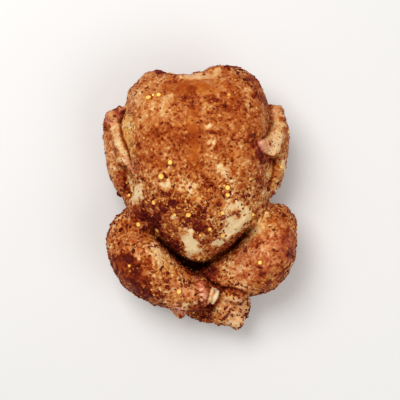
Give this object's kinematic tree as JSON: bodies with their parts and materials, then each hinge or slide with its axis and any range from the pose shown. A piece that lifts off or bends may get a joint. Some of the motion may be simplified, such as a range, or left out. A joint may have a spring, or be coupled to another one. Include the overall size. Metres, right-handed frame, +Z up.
{
  "type": "whole raw chicken",
  "caption": "Whole raw chicken lying on its back, spice-rubbed, with the wings folded at its sides and the drumsticks crossed over the tail.",
  "frame": {"origin": "on the resting plane, under the middle of the bird's box", "axes": "+Y from the tail to the neck end, +Z up through the breast, +X to the bird's left as it lies on its back, seen from above with the neck end up"},
  "size_m": [0.1628, 0.221, 0.0986],
  "materials": {
    "rubbed_skin": "moist raw poultry skin, cream to pink, under an orange-brown paprika rub",
    "paprika_crumb": "ground paprika and spice crumbs, red-brown, oily",
    "chilli_flake": "dried chilli skin, dark red-brown, thin flakes",
    "pepper_speck": "cracked black pepper and dried herb, nearly black",
    "garlic_granule": "granulated garlic and onion, straw-coloured",
    "chilli_seed": "flat round dried chilli seed, yellow, slightly glossy",
    "joint_cartilage": "wet white cartilage at the cut end of a leg bone"
  },
  "bodies": {
    "root": {"chicken": "rubbed_skin"}
  },
  "joints": []
}
